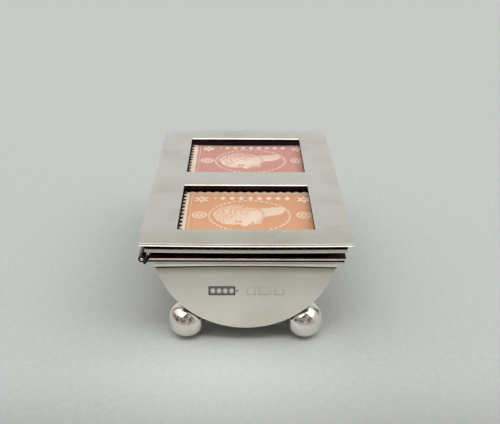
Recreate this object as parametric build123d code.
from build123d import *
from math import sqrt
import os

# Silver stamp box: a half-round trough on four ball feet, with a moulded rim, two compartments and
# a hinged lid that shows two postage stamps through windows. Millimetres, +Z up, the foot plane at
# zero, +X to the right and +Y away from the front end. The origin is the middle of the footprint.

# Postage stamps, 24 by 20.5 millimetres over the perforation tips
STAMP_WIDTH = 24.0
STAMP_DEPTH = 20.5
STAMP_THICKNESS = 0.1
STAMP_PLAY = 0.25
STAMP_REST_GAP = 0.02
PERFORATION_RADIUS = 0.45
PERFORATION_SIDES = 6
PERFORATIONS_ACROSS = 17
PERFORATIONS_DOWN = 15

# Lid, seen from above: what stands beside, between and in front of the stamps
LEFT_SPACER_WIDTH = 4.35
RIGHT_SPACER_WIDTH = 1.95
MIDDLE_SPACER_WIDTH = 2.5
SPACER_INSET = 1.1
SPACER_END_INSET = 2.3
FRONT_END_COVER = 0.75
BACK_END_COVER = 2.85
LID_CORNER = 0.5
LID_EDGE_BREAK = 0.2
WINDOW_SIDE_LAP = 1.1
WINDOW_END_LAP = 2.05
WINDOW_BAR = 6.0
WINDOW_EDGE_BREAK = 0.1

# Lid, from the top down
WINDOW_PLATE_THICKNESS = 0.8
SLOT_HEIGHT = 0.77
CARRIER_THICKNESS = 0.75
CARRIER_INSET = 0.65
CARRIER_EDGE_BREAK = 0.25

# Body
TROUGH_INSET = 2.0
TROUGH_LIFT = 3.1
TROUGH_SHORT_OF_HALF = 0.43
SHEET = 0.5
END_INSET = 2.4
PARTITION_THICKNESS = 0.4
PARTITION_DROP = 0.1
SOLDER_GAP = 0.02

# Bezel that the lid rests on, and the dark reveal it leaves
REVEAL_HEIGHT = 1.04
BEZEL_THICKNESS = 0.45
BEZEL_DEPTH_BELOW_RIM = 1.5
BEZEL_CORNER = 0.6
LID_SEAT_GAP = 0.05

# Rim moulding, from the top down: bead, groove, fillet and cove
RIM_INSET = 0.8
BEAD_HEIGHT = 0.49
GROOVE_HEIGHT = 0.25
GROOVE_DEPTH = 0.5
FILLET_HEIGHT = 0.2
FILLET_SETBACK = 0.35
COVE_HEIGHT = 1.7
COVE_HOLLOW = 0.22
COVE_LEDGE = 0.15

# Ball feet
FOOT_RADIUS = 3.13
FOOT_FLAT = 0.05
FOOT_SEAT = 0.08
FOOT_INSET = 5.25

# Barrel hinge along the left side
HINGE_OUTSET = 0.1
BARREL_RADIUS = 0.55
PIN_RADIUS = 0.28
PIN_CLEARANCE = 0.03
PIN_PROUD = 0.12
PIN_BEVEL = 0.12
HINGE_END_INSET = 0.25
END_KNUCKLE = 2.0
MIDDLE_KNUCKLE = 15.0
KNUCKLE_GAP = 0.08
CHANNEL_WIDTH = 0.8
CHANNEL_DEPTH = 0.73
KNUCKLE_FOOT_WIDTH = 0.7
WING_REACH = 1.1
WING_LIP = 0.3

# One overrun for every cut
OVERRUN = 2.0

# Outline of the lid, the windows and the stamp slots, worked out from the stamps
SLOT_WIDTH = STAMP_WIDTH + 2 * STAMP_PLAY
LID_WIDTH = SLOT_WIDTH + LEFT_SPACER_WIDTH + RIGHT_SPACER_WIDTH + 2 * SPACER_INSET
LID_LENGTH = 2 * (STAMP_DEPTH + STAMP_PLAY) + MIDDLE_SPACER_WIDTH + FRONT_END_COVER + BACK_END_COVER
WINDOW_WIDTH = STAMP_WIDTH - 2 * WINDOW_SIDE_LAP
WINDOW_DEPTH = STAMP_DEPTH - 2 * WINDOW_END_LAP
SLOT_MIDDLE_X = (LEFT_SPACER_WIDTH - RIGHT_SPACER_WIDTH) / 2
MIDDLE_SPACER_Y = (FRONT_END_COVER - BACK_END_COVER) / 2

# Heights worked out from the foot plane up
TROUGH_RADIUS = LID_WIDTH / 2 - TROUGH_INSET
AXIS_Z = TROUGH_LIFT + TROUGH_RADIUS
RIM_TOP_Z = AXIS_Z - TROUGH_SHORT_OF_HALF
CARRIER_Z = RIM_TOP_Z + REVEAL_HEIGHT
SLOT_Z = CARRIER_Z + CARRIER_THICKNESS
WINDOW_PLATE_Z = SLOT_Z + SLOT_HEIGHT
LID_TOP_Z = WINDOW_PLATE_Z + WINDOW_PLATE_THICKNESS
BEZEL_FOOT_Z = RIM_TOP_Z - BEZEL_DEPTH_BELOW_RIM
BEZEL_TOP_Z = CARRIER_Z - LID_SEAT_GAP

# Places in plan worked out from the lid's outline
END_FACE_Y = LID_LENGTH / 2 - END_INSET
TROUGH_END_Y = END_FACE_Y - SHEET
TROUGH_BORE = TROUGH_RADIUS - SHEET
CARRIER_WIDTH = LID_WIDTH - 2 * CARRIER_INSET
CARRIER_LENGTH = LID_LENGTH - 2 * CARRIER_INSET
SPACER_OUTER_X = LID_WIDTH / 2 - SPACER_INSET
SPACER_LENGTH = LID_LENGTH - 2 * SPACER_END_INSET

# Hinge places: the axis stands outside the lid's left edge, less the barrel's own radius
HINGE_X = -LID_WIDTH / 2 - HINGE_OUTSET + BARREL_RADIUS
HINGE_Z = CARRIER_Z - WING_LIP - BARREL_RADIUS
BARREL_END_Y = LID_LENGTH / 2 - HINGE_END_INSET
LID_KNUCKLE_START_Y = MIDDLE_KNUCKLE / 2 + KNUCKLE_GAP
LID_KNUCKLE_END_Y = BARREL_END_Y - END_KNUCKLE - KNUCKLE_GAP


def round_bar(radius, half_length):
    """A round bar along Y on the trough's axis."""
    return Pos(0, 0, AXIS_Z) * Rot(90, 0, 0) * Cylinder(radius, 2 * half_length)


def plate(width, length, thickness, base_z, edge_break):
    """A flat plate with rounded corners and broken top and bottom edges."""
    blank = Pos(0, 0, base_z) * extrude(RectangleRounded(width, length, LID_CORNER), thickness)
    rims = blank.edges().group_by(Axis.Z)
    soft = min(edge_break, thickness / 2 - SOLDER_GAP)
    return chamfer(rims[0] + rims[-1], soft)


def upright_section(edges, y_low, y_high):
    """A section drawn in X and Z, drawn out along Y from y_low to y_high."""
    return extrude(Plane.XZ.offset(-y_high) * edges, y_high - y_low)


# Lid


def window_plate():
    """Top plate of the lid, pierced by the two stamp windows."""
    top = plate(LID_WIDTH, LID_LENGTH, WINDOW_PLATE_THICKNESS, WINDOW_PLATE_Z, LID_EDGE_BREAK)
    cut = extrude(Rectangle(WINDOW_WIDTH, WINDOW_DEPTH), WINDOW_PLATE_THICKNESS + OVERRUN, both=True)
    for place in GridLocations(0, WINDOW_DEPTH + WINDOW_BAR, 1, 2):
        top -= Pos(0, 0, WINDOW_PLATE_Z) * place * cut
    upper_face = top.faces().sort_by(Axis.Z)[-1]
    window_edges = [edge for wire in upper_face.inner_wires() for edge in wire.edges()]
    return chamfer(window_edges, min(WINDOW_EDGE_BREAK, WINDOW_PLATE_THICKNESS / 2))


def carrier_plate():
    """Lower plate of the lid, which the stamps lie on and which closes the box."""
    return plate(CARRIER_WIDTH, CARRIER_LENGTH, CARRIER_THICKNESS, CARRIER_Z, CARRIER_EDGE_BREAK)


def side_spacer(side_x, width):
    """Strip that holds the two plates apart beside the stamps."""
    middle_x = side_x * (SPACER_OUTER_X - width / 2)
    return Pos(middle_x, 0, SLOT_Z) * extrude(Rectangle(width, SPACER_LENGTH), SLOT_HEIGHT)


def middle_spacer():
    """Strip under the bar between the windows, which stops both stamps."""
    strip = extrude(Rectangle(SLOT_WIDTH, MIDDLE_SPACER_WIDTH), SLOT_HEIGHT)
    return Pos(SLOT_MIDDLE_X, MIDDLE_SPACER_Y, SLOT_Z) * strip


def stamp(toward_back):
    """Postage stamp with its perforated edge, against the middle spacer."""
    bite = RegularPolygon(PERFORATION_RADIUS, PERFORATION_SIDES)
    pitch_x = STAMP_WIDTH / PERFORATIONS_ACROSS
    pitch_y = STAMP_DEPTH / PERFORATIONS_DOWN
    paper = Rectangle(STAMP_WIDTH, STAMP_DEPTH)
    paper -= GridLocations(pitch_x, STAMP_DEPTH, PERFORATIONS_ACROSS, 2) * bite
    paper -= GridLocations(STAMP_WIDTH, pitch_y, 2, PERFORATIONS_DOWN) * (Rot(0, 0, 90) * bite)
    y = MIDDLE_SPACER_Y + toward_back * (MIDDLE_SPACER_WIDTH / 2 + STAMP_PLAY + STAMP_DEPTH / 2)
    return Pos(SLOT_MIDDLE_X, y, SLOT_Z + STAMP_REST_GAP) * extrude(paper, STAMP_THICKNESS)


# Body


def trough():
    """Half-round sheet that makes the sides and the bottom."""
    shell = round_bar(TROUGH_RADIUS, TROUGH_END_Y) - round_bar(TROUGH_BORE, TROUGH_END_Y + OVERRUN)
    return split(shell, bisect_by=Plane.XY.offset(RIM_TOP_Z), keep=Keep.BOTTOM)


def end_plate(toward_back):
    """Flat half-round plate that closes one end of the trough."""
    disc = round_bar(TROUGH_RADIUS, SHEET / 2)
    half = split(disc, bisect_by=Plane.XY.offset(RIM_TOP_Z), keep=Keep.BOTTOM)
    return Pos(0, toward_back * (END_FACE_Y - SHEET / 2), 0) * half


def partition():
    """Upright sheet across the middle, below the bezel."""
    disc = round_bar(TROUGH_BORE - SOLDER_GAP, PARTITION_THICKNESS / 2)
    top = Plane.XY.offset(BEZEL_FOOT_Z - PARTITION_DROP)
    return split(disc, bisect_by=top, keep=Keep.BOTTOM)


def bezel():
    """Upright inner rim, inside the walls, on which the lid rests."""
    foot_drop = AXIS_Z - BEZEL_FOOT_Z
    half_width = sqrt(TROUGH_BORE ** 2 - foot_drop ** 2) - SOLDER_GAP
    half_length = TROUGH_END_Y - SOLDER_GAP
    outer = RectangleRounded(2 * half_width, 2 * half_length, BEZEL_CORNER + BEZEL_THICKNESS)
    inner = RectangleRounded(
        2 * (half_width - BEZEL_THICKNESS), 2 * (half_length - BEZEL_THICKNESS), BEZEL_CORNER)
    return Pos(0, 0, BEZEL_FOOT_Z) * extrude(outer - inner, BEZEL_TOP_Z - BEZEL_FOOT_Z)


def rim_section(inner):
    """Section of the moulding: across is the distance in from the lid's edge, up is the height."""
    bead_radius = BEAD_HEIGHT / 2
    groove_z = RIM_TOP_Z - BEAD_HEIGHT
    fillet_z = groove_z - GROOVE_HEIGHT
    cove_z = fillet_z - FILLET_HEIGHT
    foot_z = cove_z - COVE_HEIGHT
    bead_x = RIM_INSET + bead_radius
    groove_x = RIM_INSET + GROOVE_DEPTH
    fillet_x = RIM_INSET + FILLET_SETBACK
    foot_x = END_INSET - COVE_LEDGE
    bead = ThreePointArc((bead_x, RIM_TOP_Z), (RIM_INSET, RIM_TOP_Z - bead_radius), (bead_x, groove_z))
    steps = Polyline(
        (bead_x, groove_z), (groove_x, groove_z), (groove_x, fillet_z),
        (fillet_x, fillet_z), (fillet_x, cove_z))
    cove = SagittaArc((fillet_x, cove_z), (foot_x, foot_z), COVE_HOLLOW)
    back = Polyline((foot_x, foot_z), (inner, foot_z), (inner, RIM_TOP_Z), (bead_x, RIM_TOP_Z))
    return make_face(bead + steps + cove + back)


def hinge_channel():
    """Chamfer along the rim's left edge that makes room for the hinge barrel."""
    outer_x = -LID_WIDTH / 2 + RIM_INSET
    top = (outer_x + CHANNEL_WIDTH, RIM_TOP_Z)
    foot = (outer_x, RIM_TOP_Z - CHANNEL_DEPTH)
    past_x = outer_x - OVERRUN
    past_z = RIM_TOP_Z + OVERRUN
    section = Polyline(
        top, foot, (past_x, RIM_TOP_Z - CHANNEL_DEPTH), (past_x, past_z), (outer_x + CHANNEL_WIDTH, past_z),
        close=True)
    return upright_section(make_face(section), -LID_LENGTH / 2, LID_LENGTH / 2)


def rim_strip(side_x, side_y):
    """One mitred length of the rim moulding, on the side that the two signs point to."""
    outward = Vector(side_x, side_y, 0)
    tangent = Vector(0, 0, 1).cross(outward)
    across = (LID_WIDTH if side_x else LID_LENGTH) / 2
    along = (LID_LENGTH if side_x else LID_WIDTH) / 2
    inner = END_INSET + (SHEET if side_x else 0)
    section_plane = Plane(origin=outward * across, x_dir=-outward, z_dir=tangent)
    strip = extrude(section_plane * rim_section(inner), along, both=True)
    corners = [
        outward * (across - inset) + tangent * (end * (along - inset))
        for inset, end in ((RIM_INSET, -1), (RIM_INSET, 1), (inner, 1), (inner, -1))
    ]
    strip &= extrude(make_face(Polyline(*corners, close=True)), LID_TOP_Z)
    if side_x:
        strip -= round_bar(TROUGH_RADIUS + SOLDER_GAP, END_FACE_Y)
    if side_x != 1:
        strip -= hinge_channel()
    return strip


def ball_foot(side_x, side_y):
    """Ball foot, seated in a shallow hollow of the trough, with a worn flat below."""
    centre_z = FOOT_RADIUS - FOOT_FLAT
    to_axis = TROUGH_RADIUS + FOOT_RADIUS - FOOT_SEAT
    centre_x = sqrt(to_axis ** 2 - (AXIS_Z - centre_z) ** 2)
    centre_y = LID_LENGTH / 2 - FOOT_INSET
    ball = Pos(side_x * centre_x, side_y * centre_y, centre_z) * Sphere(FOOT_RADIUS)
    ball -= round_bar(TROUGH_RADIUS + SOLDER_GAP, LID_LENGTH / 2)
    return split(ball, bisect_by=Plane.XY, keep=Keep.TOP)


# Hinge


def body_knuckle(y_low, y_high):
    """Knuckle of the body, with a foot that stands square on the channel's slope."""
    outer_x = -LID_WIDTH / 2 + RIM_INSET
    slope_foot = Vector(outer_x, RIM_TOP_Z - CHANNEL_DEPTH)
    slope = Vector(CHANNEL_WIDTH, CHANNEL_DEPTH).normalized()
    axis = Vector(HINGE_X, HINGE_Z)
    seat = slope_foot + slope * (axis - slope_foot).dot(slope)
    half = slope * (KNUCKLE_FOOT_WIDTH / 2)
    foot = make_face(Polyline(axis - half, axis + half, seat + half, seat - half, close=True))
    return knuckle(foot, y_low, y_high)


def lid_knuckle(y_low, y_high):
    """Knuckle of the lid, with a wing that lies under the carrier plate's edge."""
    edge_x = -CARRIER_WIDTH / 2 + CARRIER_EDGE_BREAK
    wing = Polyline(
        (HINGE_X, HINGE_Z), (HINGE_X, HINGE_Z + BARREL_RADIUS), (edge_x, CARRIER_Z),
        (edge_x + WING_REACH, CARRIER_Z), (edge_x + WING_REACH, CARRIER_Z - WING_LIP),
        (HINGE_X + BARREL_RADIUS, HINGE_Z), close=True)
    return knuckle(make_face(wing), y_low, y_high)


def knuckle(arm, y_low, y_high):
    """Short tube on the hinge axis, in one piece with the arm that carries it."""
    on_axis = Pos(HINGE_X, HINGE_Z)
    section = on_axis * Circle(BARREL_RADIUS) + arm
    section -= on_axis * Circle(PIN_RADIUS + PIN_CLEARANCE)
    return upright_section(section, y_low, y_high)


def hinge_pin():
    """Pin through all five knuckles, with bevelled ends."""
    pin = Rot(90, 0, 0) * Cylinder(PIN_RADIUS, 2 * (BARREL_END_Y + PIN_PROUD))
    ends = pin.edges().filter_by(GeomType.CIRCLE)
    return Pos(HINGE_X, 0, HINGE_Z) * chamfer(ends, PIN_BEVEL)


def build_parts():
    """Every piece of the box under its own name."""
    parts = {
        "window_plate": window_plate(),
        "carrier_plate": carrier_plate(),
        "left_spacer": side_spacer(-1, LEFT_SPACER_WIDTH),
        "right_spacer": side_spacer(1, RIGHT_SPACER_WIDTH),
        "middle_spacer": middle_spacer(),
        "trough": trough(),
        "partition": partition(),
        "bezel": bezel(),
        "rim_front": rim_strip(0, -1),
        "rim_back": rim_strip(0, 1),
        "rim_left": rim_strip(-1, 0),
        "rim_right": rim_strip(1, 0),
        "middle_body_knuckle": body_knuckle(-MIDDLE_KNUCKLE / 2, MIDDLE_KNUCKLE / 2),
        "hinge_pin": hinge_pin(),
    }
    for end, toward_back in (("front", -1), ("back", 1)):
        parts[end + "_stamp"] = stamp(toward_back)
        parts[end + "_end_plate"] = end_plate(toward_back)
        outer_ends = sorted((toward_back * BARREL_END_Y, toward_back * (BARREL_END_Y - END_KNUCKLE)))
        parts[end + "_body_knuckle"] = body_knuckle(*outer_ends)
        lid_ends = sorted((toward_back * LID_KNUCKLE_START_Y, toward_back * LID_KNUCKLE_END_Y))
        parts[end + "_lid_knuckle"] = lid_knuckle(*lid_ends)
        for side, side_x in (("left", -1), ("right", 1)):
            parts[end + "_" + side + "_foot"] = ball_foot(side_x, toward_back)
    return parts


os.makedirs("parts", exist_ok=True)
for name, solid in build_parts().items():
    export_step(solid, "parts/" + name + ".step")
